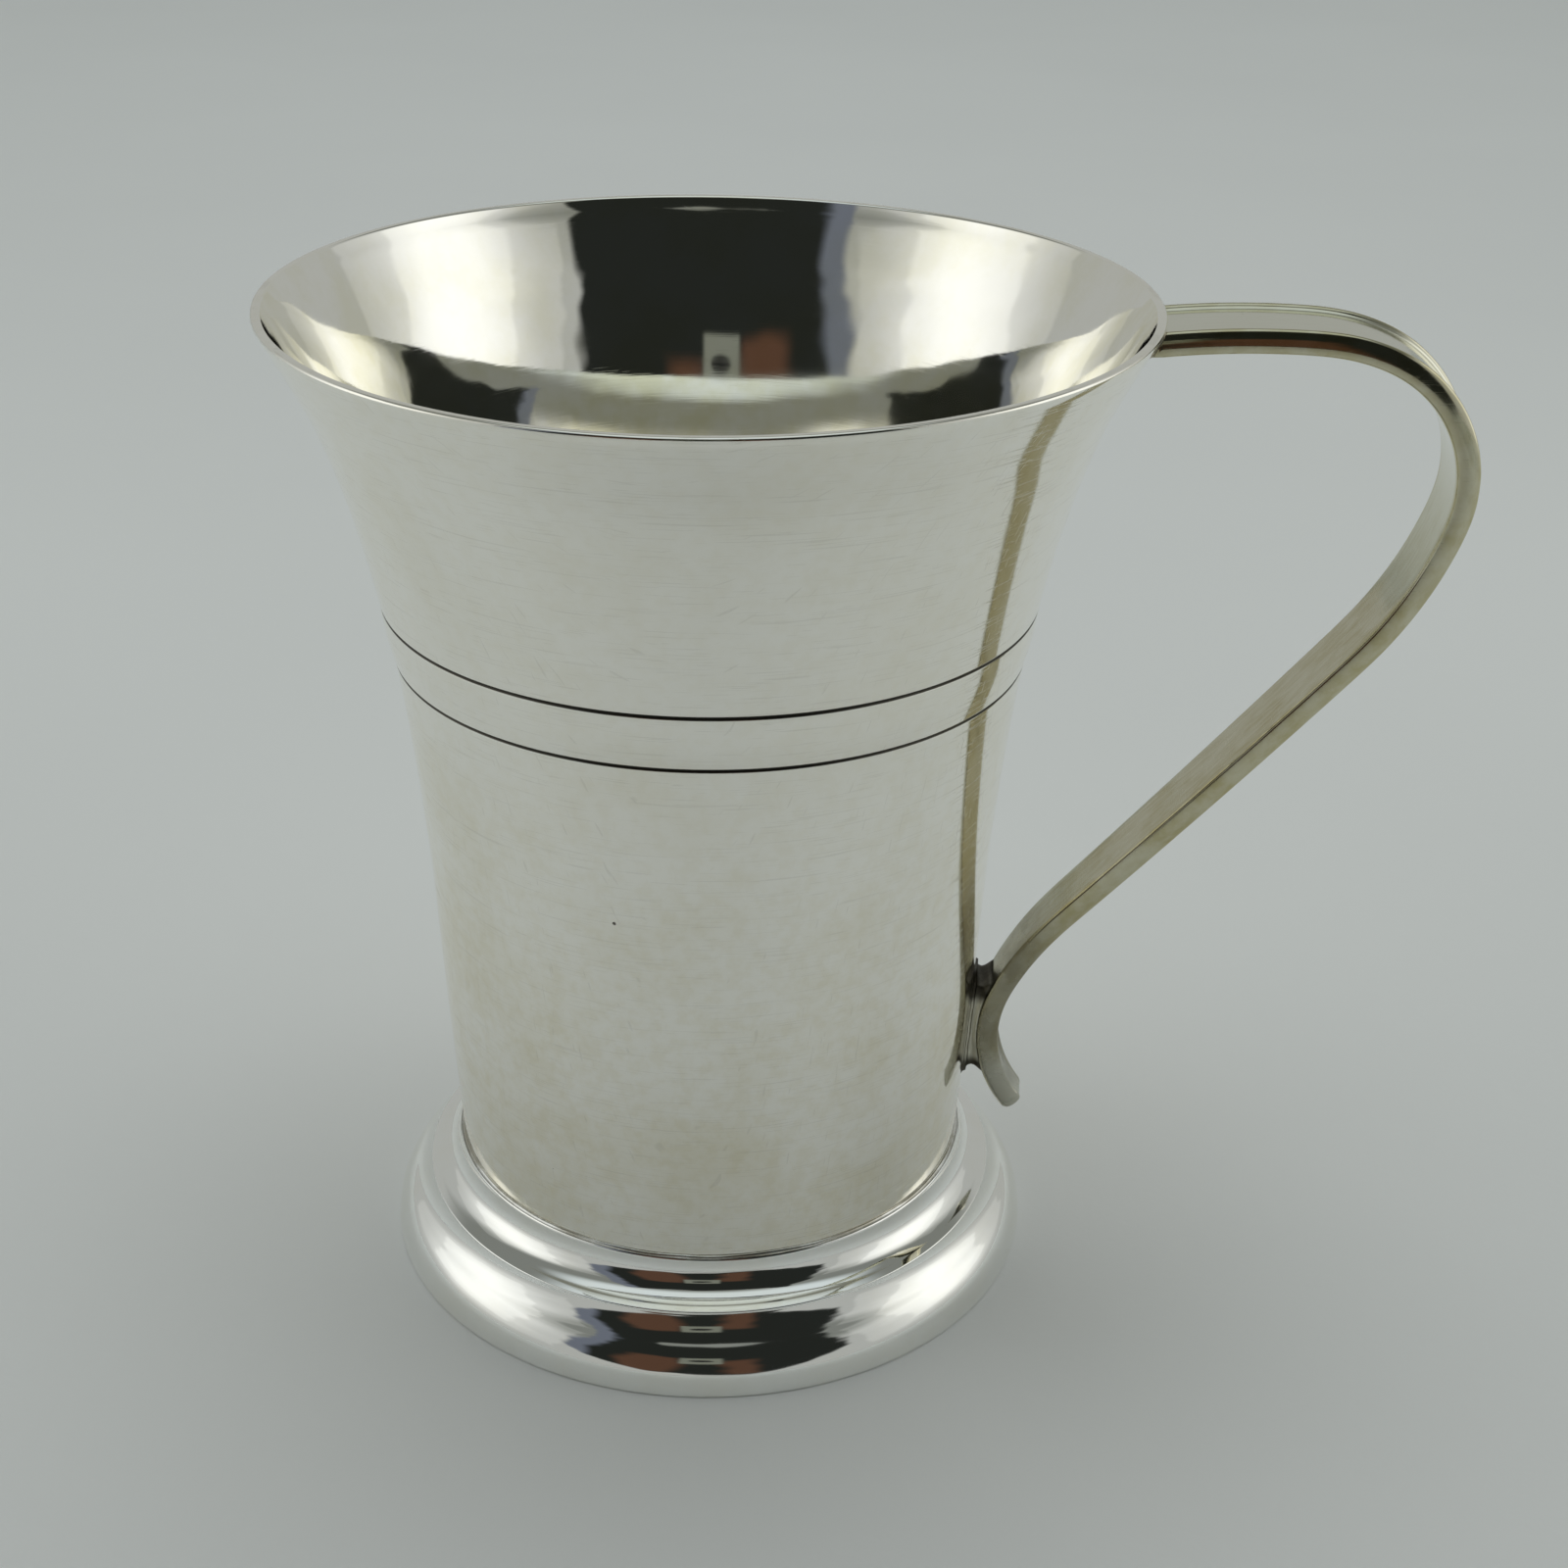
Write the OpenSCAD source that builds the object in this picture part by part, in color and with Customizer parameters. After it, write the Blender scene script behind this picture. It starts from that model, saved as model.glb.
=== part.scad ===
// Small silver cream jug: a spun cup with a flared mouth, a moulded foot and a reeded strap handle.
// Origin on the cup's axis at the level it stands on, +Z up, handle towards +X, millimetres.

/* [Cup] */
// Height from the standing edge to the rim
jug_h = 90; // [80:1:100]
// Outer diameter of the rim
rim_d = 74.5; // [70:0.5:80]
// Outer diameter of the cup where the foot is soldered on
waist_d = 47.2; // [45:0.2:48]
// Thickness of the sheet silver
gauge = 0.85; // [0.6:0.05:1]
// Outer radius of the corner between wall and bottom
corner_r = 3.2; // [2.5:0.1:3.4]
// Depth of the two incised lines
line_depth = 0.18; // [0.1:0.02:0.3]
// Width of each incised line
line_w = 0.38; // [0.3:0.02:0.5]

/* [Foot] */
// Height of the foot moulding
foot_h = 10.2; // [10:0.1:11]
// Greatest outer diameter of the foot
foot_d = 60.6; // [59.6:0.2:61.6]
// Thickness of the foot's sheet
foot_gauge = 0.8; // [0.6:0.05:0.9]
// Width of the flat wire inside the standing edge
wire_w = 1.6; // [1.2:0.1:2]
// Height of that wire
wire_h = 1.8; // [1.2:0.1:2]

/* [Handle] */
// Width of the strap at its upper end
strap_root_w = 9.2; // [8.6:0.2:10]
// Thickness of the strap at its rounded edges
strap_t = 2; // [1.8:0.1:2.2]
// Depth of the trough between the two reeds
trough_depth = 0.4; // [0.2:0.05:0.6]
// Height of the strap's middle line where it meets the cup
strap_z = 88.2; // [87.8:0.1:88.4]

/* [Hidden] */
$fn = 96;

// ---- wall of the cup: outer radius as a smooth function of height ----
rim_r = rim_d / 2;
waist_r = waist_d / 2;
seat_z = foot_h + 0.4;
// The rim's edge is rounded to this radius, above this height
lip_r = gauge * 0.3;
lip_z = jug_h - lip_r;
// Each knot is [share of the height above the foot, share of the flare]
FLARE = [[0, 0], [0.2, 0.075], [0.385, 0.137], [0.575, 0.25], [0.68, 0.355],
         [0.805, 0.525], [0.9, 0.71], [0.955, 0.865], [1, 1]];
LINES_AT = [59.7 / 90, 64.6 / 90];

function knot_slope(i) =
    let (n = len(FLARE) - 1, a = max(i - 1, 0), b = min(i + 1, n))
    (FLARE[b][1] - FLARE[a][1]) / (FLARE[b][0] - FLARE[a][0]);
function span(t, i = 0) = i >= len(FLARE) - 2 || t < FLARE[i + 1][0] ? i : span(t, i + 1);
function flare_share(t) =
    let (i = span(t), d = FLARE[i + 1][0] - FLARE[i][0], s = (t - FLARE[i][0]) / d)
    FLARE[i][1] * (1 + 2 * s) * (1 - s) * (1 - s) + FLARE[i + 1][1] * s * s * (3 - 2 * s)
    + d * s * (1 - s) * (knot_slope(i) * (1 - s) - knot_slope(i + 1) * s);
function wall_r(z) =
    z <= seat_z ? waist_r
    : z >= lip_z ? rim_r : waist_r + (rim_r - waist_r) * flare_share((z - seat_z) / (lip_z - seat_z));
function wall_slope(z) = (wall_r(z + 0.1) - wall_r(z - 0.1)) / 0.2;
function lean(z) = sqrt(1 + pow(wall_slope(z), 2));

// Points of an arc about c from angle a to angle b in n steps
function arc(c, r, a, b, n) =
    [for (i = [0 : n]) let (t = a + (b - a) * i / n) [c[0] + r * cos(t), c[1] + r * sin(t)]];

// ---- cup ----
floor_z = 5.6;
corner_c = [waist_r - corner_r, floor_z + corner_r];
WALL_STEPS = 40;
wall_z = [for (i = [0 : WALL_STEPS]) seat_z + (lip_z - seat_z) * i / WALL_STEPS];

// The outer line of the wall, with the two incised lines cut into it
function line_points(z) = [[wall_r(z - line_w / 2), z - line_w / 2], [wall_r(z) - line_depth, z],
                           [wall_r(z + line_w / 2), z + line_w / 2]];
function clear_of_lines(z) = min([for (s = LINES_AT) abs(z - s * jug_h)]) > line_w / 2 + 0.1;
function wall_between(a, b) = [for (z = wall_z) if (z >= a && z < b && clear_of_lines(z)) [wall_r(z), z]];

cup_outer = concat(
    arc(corner_c, corner_r, -90, 0, 8),
    wall_between(seat_z, LINES_AT[0] * jug_h), line_points(LINES_AT[0] * jug_h),
    wall_between(LINES_AT[0] * jug_h, LINES_AT[1] * jug_h), line_points(LINES_AT[1] * jug_h),
    wall_between(LINES_AT[1] * jug_h, lip_z - 0.01));
cup_lip = concat(arc([rim_r - lip_r, lip_z], lip_r, 0, 90, 4),
                 arc([rim_r - gauge + lip_r, lip_z], lip_r, 90, 165, 3));
cup_inner = [for (i = [WALL_STEPS - 1 : -1 : 0]) let (z = wall_z[i]) [wall_r(z) - gauge * lean(z), z]];

module cup_body() {
    color("silver")
        rotate_extrude()
            polygon(concat([[0, floor_z]], cup_outer, cup_lip, cup_inner,
                           arc(corner_c, corner_r - gauge, 0, -90, 6), [[0, floor_z + gauge]]));
}

// ---- foot: a cavetto, a narrow step, then a reversed curve down to the standing edge ----
foot_r = foot_d / 2;
// Outer radius and height of the edge of the step
step_r = foot_r - 3.4;
step_z = foot_h * 0.66;
// The cavetto is a quarter of an ellipse about this point
cove_c = [step_r, foot_h - 0.2];
cove_w = step_r - waist_r - 0.35;
cove_h = cove_c[1] - step_z - 0.1;
// Radius of the hollow and of the swell below the step, and the angles at which they start and meet
sweep_r = 5.05;
sweep_start = 18;
sweep_mid = 50;
hollow_c = [step_r + sweep_r * cos(sweep_start), step_z - 0.12 + sweep_r * sin(sweep_start)];
swell_c = hollow_c - 2 * sweep_r * [cos(sweep_mid), sin(sweep_mid)];

function cove(grow, a, b, n) =
    [for (i = [0 : n]) let (t = a + (b - a) * i / n)
        [cove_c[0] - (cove_w + grow) * cos(t), cove_c[1] - (cove_h + grow) * sin(t)]];
cove_inner_start = acos((step_r - waist_r) / (cove_w + foot_gauge));

foot_outer = concat(
    [[waist_r, foot_h], [waist_r + 0.33, foot_h]],
    cove(0, 2, 80, 10), [[step_r - 0.08, step_z + 0.02], [step_r, step_z - 0.1]],
    arc(hollow_c, sweep_r, 180 + sweep_start, 180 + sweep_mid, 8),
    arc(swell_c, sweep_r, sweep_mid - 5, 0, 9), [[swell_c[0] + sweep_r - 0.04, 0]]);
foot_inner = concat(
    [[swell_c[0] + sweep_r - foot_gauge, 0]],
    arc(swell_c, sweep_r - foot_gauge, 0, sweep_mid, 6),
    arc(hollow_c, sweep_r + foot_gauge, 180 + sweep_mid - 4, 180 + sweep_start + 6, 5),
    cove(foot_gauge, 76, cove_inner_start, 6));

module foot_moulding() {
    color("silver")
        rotate_extrude()
            polygon(concat(foot_outer, foot_inner));
}

// ---- wire ring soldered inside the standing edge ----
wire_r = swell_c[0] + sweep_r - foot_gauge;
module foot_wire() {
    color("lightgray")
        rotate_extrude()
            polygon([[wire_r - wire_w, 0], [wire_r, 0], [wire_r, swell_c[1]],
                     [wire_r - 0.12, wire_h - 0.2], [wire_r - 0.4, wire_h],
                     [wire_r - wire_w + 0.4, wire_h], [wire_r - wire_w, wire_h - 0.4]]);
}

// ---- fillet of hard solder round the top edge of the foot ----
module solder_foot_seam() {
    color("darkgray")
        rotate_extrude()
            polygon([[waist_r, foot_h], [waist_r + 0.33, foot_h], [waist_r + 0.1, foot_h + 0.12],
                     [waist_r, foot_h + 0.35]]);
}

// ---- handle: the strap follows a bend list, [length, turn in degrees] for each stretch ----
BENDS = [[13.3, -10], [5.5, -19], [17, -85], [14, -23], [35.6, -2], [9.5, 17], [13.5, 65]];
START_HEADING = 7.5;
STEP = 1.5;
strap_x = wall_r(strap_z);
strap_h = strap_t / 2;

function bend_len(i) = i < 0 ? 0 : BENDS[i][0] + bend_len(i - 1);
strap_len = bend_len(len(BENDS) - 1);
function bend_steps(b) = max(4, round(b[0] / STEP));
// Every stretch cut into short steps: [length, turn]
MOVES = [for (b = BENDS) for (i = [1 : bend_steps(b)]) [b[0] / bend_steps(b), b[1] / bend_steps(b)]];
LAST = len(MOVES);
function move_len(i) = i < LAST ? MOVES[i][0] : 0;
function move_turn(i) = i < LAST ? MOVES[i][1] : 0;
HEADINGS = [for (i = 0, h = START_HEADING; i <= LAST; h = h + move_turn(i), i = i + 1) h];
function chord(i) =
    let (h = HEADINGS[i] + move_turn(i) / 2)
    move_len(i) * [cos(h), sin(h)];
STATIONS = [for (i = 0, p = [strap_x, strap_z]; i <= LAST; p = p + chord(i), i = i + 1) p];
RUN = [for (i = 0, s = 0; i <= LAST; s = s + move_len(i), i = i + 1) s / strap_len];

// How far the reed's crest stands in from the strap's side
REED_INSET = 0.6;
// Half the distance between the two reeds, narrowing towards the tail
function half_gap(u) = strap_root_w / 2 - REED_INSET - 1.05 * u - 1.6 * pow(u, 3);

// Radii of the strap's section: its inner corner, the flank, the reed's crest and the trough's side
CORNER_R = 0.4;
FLANK_R = 2.2;
CREST_R = 0.35;
TROUGH_R = 0.5;
// Where the flank passes into the crest, in degrees from level
CREST_FROM = 31;
// The trough runs out over this length before the tail
RUN_OUT = 8;
function trough_at(u) = let (t = min((1 - u) * strap_len / RUN_OUT, 1))
    max(trough_depth * t * t * (3 - 2 * t), 0.05);

// Outline of the strap across its run: [across, outward], the same number of points at every station
function strap_outline(u) =
    let (g = half_gap(u), depth = trough_at(u),
         crest = [g, strap_h - CREST_R],
         flank = crest - (FLANK_R - CREST_R) * [cos(CREST_FROM), sin(CREST_FROM)],
         rise = CORNER_R - strap_h - flank[1], inset = FLANK_R - CORNER_R,
         corner = flank + [sqrt(inset * inset - rise * rise), rise],
         turn = acos(1 - depth / (CREST_R + TROUGH_R)),
         hollow = crest + (CREST_R + TROUGH_R) * [-sin(turn), cos(turn)],
         side = concat(arc(corner, CORNER_R, -90, asin(rise / inset), 4),
                       arc(flank, FLANK_R, asin(rise / inset) + 12, CREST_FROM, 2),
                       arc(crest, CREST_R, CREST_FROM + 20, 90 + turn, 3),
                       arc(hollow, TROUGH_R, 270 + turn / 2, 270, 1)))
    concat(side, [[0, strap_h - depth]], [for (i = [len(side) - 1 : -1 : 0]) [-side[i][0], side[i][1]]]);

function normal_at(i) = [-sin(HEADINGS[i]), cos(HEADINGS[i])];
function place(i, q) =
    let (p = STATIONS[i] + q[1] * normal_at(i))
    [p[0], q[0], p[1]];
// Moved along X until it lies on the cup's wall
function on_wall(p) = [sqrt(pow(wall_r(p[2]), 2) - p[1] * p[1]), p[1], p[2]];

// Solid between rings of n points each, closed at both ends
module skin(rings) {
    n = len(rings[0]);
    m = len(rings);
    sides = [for (i = [0 : m - 2]) for (j = [0 : n - 1])
        for (f = [[i * n + j, (i + 1) * n + j, i * n + (j + 1) % n],
                  [(i + 1) * n + j, (i + 1) * n + (j + 1) % n, i * n + (j + 1) % n]]) f];
    first = [for (j = [0 : n - 1]) j];
    last = [for (j = [n - 1 : -1 : 0]) (m - 1) * n + j];
    polyhedron([for (r = rings) for (p = r) p], concat(sides, [first, last]), convexity = 6);
}

// Ring-shaped solid: three closed loops of n points each, joined round
module collar(loops) {
    n = len(loops[0]);
    polyhedron([for (l = loops) for (p = l) p],
               [for (k = [0 : 2]) for (j = [0 : n - 1])
                   let (a = k * n, b = ((k + 1) % 3) * n, c = (j + 1) % n)
                   for (f = [[a + j, b + j, a + c], [b + j, b + c, a + c]]) f], convexity = 6);
}

module handle_strap() {
    root = [for (q = strap_outline(0)) on_wall(place(0, q))];
    run = [for (i = [1 : LAST]) [for (q = strap_outline(RUN[i])) place(i, q)]];
    color("gainsboro")
        skin(concat([root], run));
}

// ---- pad that fills the gap between the strap's inner face and the cup ----
PAD_GAP = 1.85;
PAD_ACROSS = 4;
function inner_face(i) = STATIONS[i] - strap_h * normal_at(i);
function pad_here(i) = inner_face(i)[1] < 40 && inner_face(i)[0] - wall_r(inner_face(i)[1]) < PAD_GAP;
PAD = [for (i = [0 : LAST]) if (pad_here(i)) i];
function pad_half(i) = half_gap(RUN[i]) - 0.1;
function pad_row(i) = [for (k = [0 : PAD_ACROSS]) pad_half(i) * (2 * k / PAD_ACROSS - 1)];
function pad_ring(i) =
    let (f = inner_face(i), row = pad_row(i))
    concat([for (y = row) on_wall([0, y, f[1]])],
           [for (k = [PAD_ACROSS, 0]) [f[0], row[k], f[1]]]);

module lower_handle_pad() {
    color("gray")
        skin([for (i = PAD) pad_ring(i)]);
}

// ---- hard solder where the handle meets the cup ----
FILLET = 0.5;
TOP_FILLET = 0.4;
module solder_handle_top() {
    outline = strap_outline(0);
    n = len(outline);
    function out(j) =
        let (d = outline[(j + 1) % n] - outline[(j + n - 1) % n])
        [d[1], -d[0]] / norm(d);
    at_wall = [for (q = outline) on_wall(place(0, q))];
    spread = [for (j = [0 : n - 1]) on_wall(place(0, outline[j] + TOP_FILLET * out(j)))];
    up_strap = [for (q = at_wall) q + TOP_FILLET * [cos(START_HEADING), 0, sin(START_HEADING)]];
    color("dimgray")
        collar([at_wall, spread, up_strap]);
}

module solder_handle_bottom() {
    n = len(PAD);
    // Once round the pad's face on the wall: up one side, across, down the other side, back
    function side(i, s) = [pad_half(i) * s, inner_face(i)[1]];
    loop = concat([for (k = [0 : n - 1]) side(PAD[k], 1)], [for (k = [n - 1 : -1 : 0]) side(PAD[k], -1)]);
    function away(j) =
        let (end = j == 0 || j == 2 * n - 1 ? 1 : j == n - 1 || j == n ? -1 : 0)
        [loop[j][0] > 0 ? 1 : -1, end];
    at_wall = [for (q = loop) on_wall([0, q[0], q[1]])];
    spread = [for (j = [0 : 2 * n - 1]) let (q = loop[j] + FILLET * away(j)) on_wall([0, q[0], q[1]])];
    up_pad = [for (p = at_wall) p + [FILLET * 0.8, 0, 0]];
    color("dimgray")
        collar([at_wall, up_pad, spread]);
}

cup_body();
foot_moulding();
foot_wire();
handle_strap();
lower_handle_pad();
solder_foot_seam();
solder_handle_top();
solder_handle_bottom();
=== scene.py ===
"""Silver cream jug: a spun cup with a flared mouth, a moulded foot and a reeded strap handle.

The file is laid out as an add-on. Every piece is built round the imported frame, in metres, and
takes its place from the frame's own boxes.
"""

import math

import bpy
from bpy.props import FloatProperty, FloatVectorProperty, PointerProperty
from mathutils import Matrix, Vector, noise


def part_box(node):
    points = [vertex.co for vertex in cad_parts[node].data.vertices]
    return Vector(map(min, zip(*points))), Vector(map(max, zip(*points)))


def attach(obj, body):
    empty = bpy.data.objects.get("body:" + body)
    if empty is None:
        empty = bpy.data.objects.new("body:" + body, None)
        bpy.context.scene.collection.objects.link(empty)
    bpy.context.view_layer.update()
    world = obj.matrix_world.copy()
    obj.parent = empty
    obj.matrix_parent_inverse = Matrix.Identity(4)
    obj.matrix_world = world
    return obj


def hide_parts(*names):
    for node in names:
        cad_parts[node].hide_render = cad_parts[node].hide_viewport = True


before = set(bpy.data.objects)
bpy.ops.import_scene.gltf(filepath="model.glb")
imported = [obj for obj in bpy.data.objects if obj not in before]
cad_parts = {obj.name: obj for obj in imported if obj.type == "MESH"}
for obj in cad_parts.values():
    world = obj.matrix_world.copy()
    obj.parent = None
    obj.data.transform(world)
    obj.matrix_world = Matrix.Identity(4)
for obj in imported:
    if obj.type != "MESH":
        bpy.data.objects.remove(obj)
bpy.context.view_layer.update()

bl_info = {
    "name": "Silver Cream Jug",
    "version": (1, 0, 0),
    "blender": (4, 5, 0),
    "location": "View3D > Sidebar > Cream Jug",
    "description": "Builds a silver cream jug with its foot, strap handle and soldered seams",
    "category": "Add Mesh",
}

MM = 0.001
BODY = "root"

CUP_LOW, CUP_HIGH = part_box("cup_body")
FOOT_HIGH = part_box("foot_moulding")[1]
WIRE_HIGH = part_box("foot_wire")[1]
SEAM_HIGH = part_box("solder_foot_seam")[1]
STRAP_LOW, STRAP_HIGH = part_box("handle_strap")

# How far the seam stands out from the cup where it meets the foot
SEAM_RUN = 0.33 * MM


# ---------------------------------------------------------------- sizes and colours


def length(name, description, default):
    """A length property in metres."""
    return FloatProperty(
        name=name, description=description, default=default, unit="LENGTH", precision=5
    )


def colour(name, description, default):
    """A colour property."""
    return FloatVectorProperty(
        name=name, description=description, default=default, subtype="COLOR", size=3, min=0, max=1
    )


class JugCup(bpy.types.PropertyGroup):
    """Sizes and colours of the cup."""

    height: length("Height", "Height of the rim above the table", CUP_HIGH.z)
    floor: length("Bottom", "Height of the cup's bottom above the table", CUP_LOW.z)
    rim: length("Rim radius", "Outer radius of the rim", CUP_HIGH.y)
    waist: length("Waist radius", "Outer radius where the foot is soldered on", SEAM_HIGH.y - SEAM_RUN)
    seat: length("Seat", "Height at which the flare starts, just over the foot", FOOT_HIGH.z + 0.4 * MM)
    gauge: length("Gauge", "Thickness of the sheet silver", 0.85 * MM)
    corner: length("Corner", "Outer radius between wall and bottom", 3.2 * MM)
    line_depth: length("Line depth", "Depth of the incised lines", 0.16 * MM)
    line_width: length("Line width", "Width of the incised lines", 0.38 * MM)
    crown: length("Crown", "How far the band between the two lines swells out", 0.16 * MM)
    dents: length("Dents", "Depth of the shallow hollows left in the wall by hand work", 0.045 * MM)
    silver: colour("Silver", "Colour of the polished metal", (0.97, 0.955, 0.89))
    film: colour("Film", "Colour of the thin tarnish", (0.82, 0.77, 0.60))


class JugFoot(bpy.types.PropertyGroup):
    """Sizes and colours of the foot and its wire."""

    height: length("Height", "Height of the foot moulding", FOOT_HIGH.z)
    radius: length("Radius", "Greatest outer radius of the foot", FOOT_HIGH.y)
    gauge: length("Gauge", "Thickness of the foot's sheet", 0.8 * MM)
    sweep: length("Sweep", "Radius of the hollow and of the swell", 5.05 * MM)
    shelf: length("Shelf", "How far the step stands back from the greatest radius", 3.4 * MM)
    wire_width: length("Wire width", "Width of the flat wire in the foot", 1.6 * MM)
    wire_height: length("Wire height", "Height of the flat wire in the foot", WIRE_HIGH.z)
    silver: colour("Silver", "Colour of the polished metal", (0.95, 0.955, 0.93))


class JugHandle(bpy.types.PropertyGroup):
    """Sizes and colours of the strap handle and its solder."""

    root_height: length("Root height", "Height of the strap's middle line on the cup", 88.2 * MM)
    width: length("Width", "Width of the strap at its upper end", STRAP_HIGH.y - STRAP_LOW.y)
    thickness: length("Thickness", "Thickness of the strap at its reeds", 2.0 * MM)
    trough: length("Trough", "Depth of the trough between the reeds", 0.4 * MM)
    fillet: length("Fillet", "Size of the solder fillets", 0.4 * MM)
    silver: colour("Silver", "Colour of the worn metal", (0.80, 0.80, 0.70))
    # On the strap's sides this tarnish colour also serves as painted shade.
    film: colour("Film", "Colour of the tarnish on the sides and the lower part", (0.50, 0.45, 0.26))
    solder: colour("Solder", "Colour of the darkened solder", (0.16, 0.15, 0.12))


class JugStage(bpy.types.PropertyGroup):
    """The table, the light and the camera."""

    paper: colour("Paper", "Colour of the table's paper", (0.86, 0.88, 0.87))
    reach: FloatProperty(name="Reach", description="Camera's distance in rim radii", default=5.2768)
    rise: FloatProperty(name="Rise", description="Camera's height in rim radii", default=3.8148)


# ---------------------------------------------------------------- shapes


def arc(centre, radius, start, end, steps):
    """Points of an arc, with its angles in degrees."""
    points = []
    for i in range(steps + 1):
        turn = math.radians(start + (end - start) * i / steps)
        points.append((centre[0] + radius * math.cos(turn), centre[1] + radius * math.sin(turn)))
    return points


def smooth_step(x):
    """0 below 0, 1 above 1, and an even rise between."""
    x = min(max(x, 0.0), 1.0)
    return x * x * (3 - 2 * x)


def new_piece(name, points, faces, slots=None):
    """A smooth-shaded mesh object in the scene. slots gives each face's material number."""
    mesh = bpy.data.meshes.new(name)
    mesh.from_pydata(points, [], faces)
    if slots:
        mesh.polygons.foreach_set("material_index", slots)
    mesh.shade_smooth()
    mesh.update()
    piece = bpy.data.objects.new(name, mesh)
    bpy.context.scene.collection.objects.link(piece)
    return piece


def ride_and_replace(piece, node, slot, *finishes):
    """The piece takes its finishes, stands for its CAD node and rides on the jug."""
    for finish in finishes:
        piece.data.materials.append(finish)
    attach(piece, BODY)
    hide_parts(node)


def turned(name, profile, segments, shape=None, slots=None, closed=False):
    """A piece turned on the lathe from (radius, height) points. shape may move a point a little.

    A point on the axis becomes one vertex. A closed profile joins its last point to its first.
    """
    points, rings = [], []
    for k, (radius, height) in enumerate(profile):
        count = 1 if radius < 1e-7 else segments
        rings.append(range(len(points), len(points) + count))
        for j in range(count):
            angle = math.tau * j / segments
            r, z = shape(k, radius, height, angle) if shape else (radius, height)
            points.append((r * math.cos(angle), r * math.sin(angle), z))
    faces, face_slots = [], []
    pairs = list(zip(range(len(rings) - 1), range(1, len(rings))))
    if closed:
        pairs.append((len(rings) - 1, 0))
    for a, b in pairs:
        low, high = rings[a], rings[b]
        for j in range(segments):
            n = (j + 1) % segments
            if len(low) == 1:
                faces.append((low[0], high[n], high[j]))
            elif len(high) == 1:
                faces.append((low[j], low[n], high[0]))
            else:
                faces.append((low[j], low[n], high[n], high[j]))
            face_slots.append(slots[a] if slots else 0)
    return new_piece(name, points, faces, face_slots)


def skin(name, rings, closed=False):
    """A solid between rings of the same number of points, capped at both ends or closed round."""
    n = len(rings[0])
    points = [p for ring in rings for p in ring]
    faces = []
    for i in range(len(rings) if closed else len(rings) - 1):
        k = (i + 1) % len(rings)
        for j in range(n):
            m = (j + 1) % n
            faces.append((i * n + j, i * n + m, k * n + m, k * n + j))
    if not closed:
        faces.append(tuple(reversed(range(n))))
        faces.append(tuple((len(rings) - 1) * n + j for j in range(n)))
    return new_piece(name, points, faces)


def block(name, counts, place_of):
    """A solid block of counts cells, each point placed by its three shares from 0 to 1."""
    index, points, faces = {}, [], []

    def corner(key):
        if key not in index:
            index[key] = len(points)
            points.append(place_of(*(k / n for k, n in zip(key, counts))))
        return index[key]

    for axis in range(3):
        a, b = (axis + 1) % 3, (axis + 2) % 3
        for end in (0, counts[axis]):
            for i in range(counts[a]):
                for j in range(counts[b]):
                    face = []
                    for di, dj in ((0, 0), (1, 0), (1, 1), (0, 1)):
                        key = [0, 0, 0]
                        key[axis], key[a], key[b] = end, i + di, j + dj
                        face.append(corner(tuple(key)))
                    faces.append(face if end else face[::-1])
    return new_piece(name, points, faces)


# ---------------------------------------------------------------- the cup's wall

# Each knot is (share of the height above the foot, share of the flare)
FLARE = (
    (0, 0), (0.2, 0.075), (0.385, 0.137), (0.575, 0.25), (0.68, 0.355),
    (0.805, 0.525), (0.9, 0.71), (0.955, 0.865), (1, 1),
)
LINES_AT = (59.7 / 90, 64.6 / 90)
LIP_SHARE = 0.3
# How far the mouth dips on two sides
MOUTH_DIP = 0.22 * MM


def knot_slope(i):
    """Slope of the flare at a knot."""
    a, b = FLARE[max(i - 1, 0)], FLARE[min(i + 1, len(FLARE) - 1)]
    return (b[1] - a[1]) / (b[0] - a[0])


def flare(t):
    """Share of the flare at a share of the height; straight beyond both ends."""
    last = len(FLARE) - 1
    if t <= 0:
        return knot_slope(0) * t * 0.2
    if t >= 1:
        return 1 + knot_slope(last) * (t - 1)
    i = max(k for k in range(last) if t >= FLARE[k][0])
    d = FLARE[i + 1][0] - FLARE[i][0]
    s = (t - FLARE[i][0]) / d
    return (
        FLARE[i][1] * (1 + 2 * s) * (1 - s) ** 2
        + FLARE[i + 1][1] * s * s * (3 - 2 * s)
        + d * s * (1 - s) * (knot_slope(i) * (1 - s) - knot_slope(i + 1) * s)
    )


def fair_flare(t):
    """The flare averaged over a short stretch, so that reflections run evenly along it."""
    spread = 0.022
    offsets = (-1.5, -1, -0.5, 0, 0.5, 1, 1.5)
    weights = (1, 4, 9, 12, 9, 4, 1)
    whole = sum(weights)
    return sum(w * flare(t + o * spread) for o, w in zip(offsets, weights)) / whole


def wall(cup, z):
    """Outer radius of the cup at a height."""
    lip = cup.height - cup.gauge * LIP_SHARE
    share = (z - cup.seat) / (lip - cup.seat)
    if share <= 0:
        return cup.waist
    return min(cup.rim, cup.waist + (cup.rim - cup.waist) * fair_flare(min(share, 1)))


def wall_slope(cup, z):
    """How fast the outer radius grows with height."""
    step = 0.2 * MM
    top = cup.height - cup.gauge * LIP_SHARE
    a, b = min(z - step, top - step), min(z + step, top)
    return (wall(cup, b) - wall(cup, a)) / (b - a)


def on_wall(cup, point):
    """The point moved along X until it lies on the cup's wall."""
    x, y, z = point
    return (math.sqrt(wall(cup, z) ** 2 - y * y), y, z)


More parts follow.
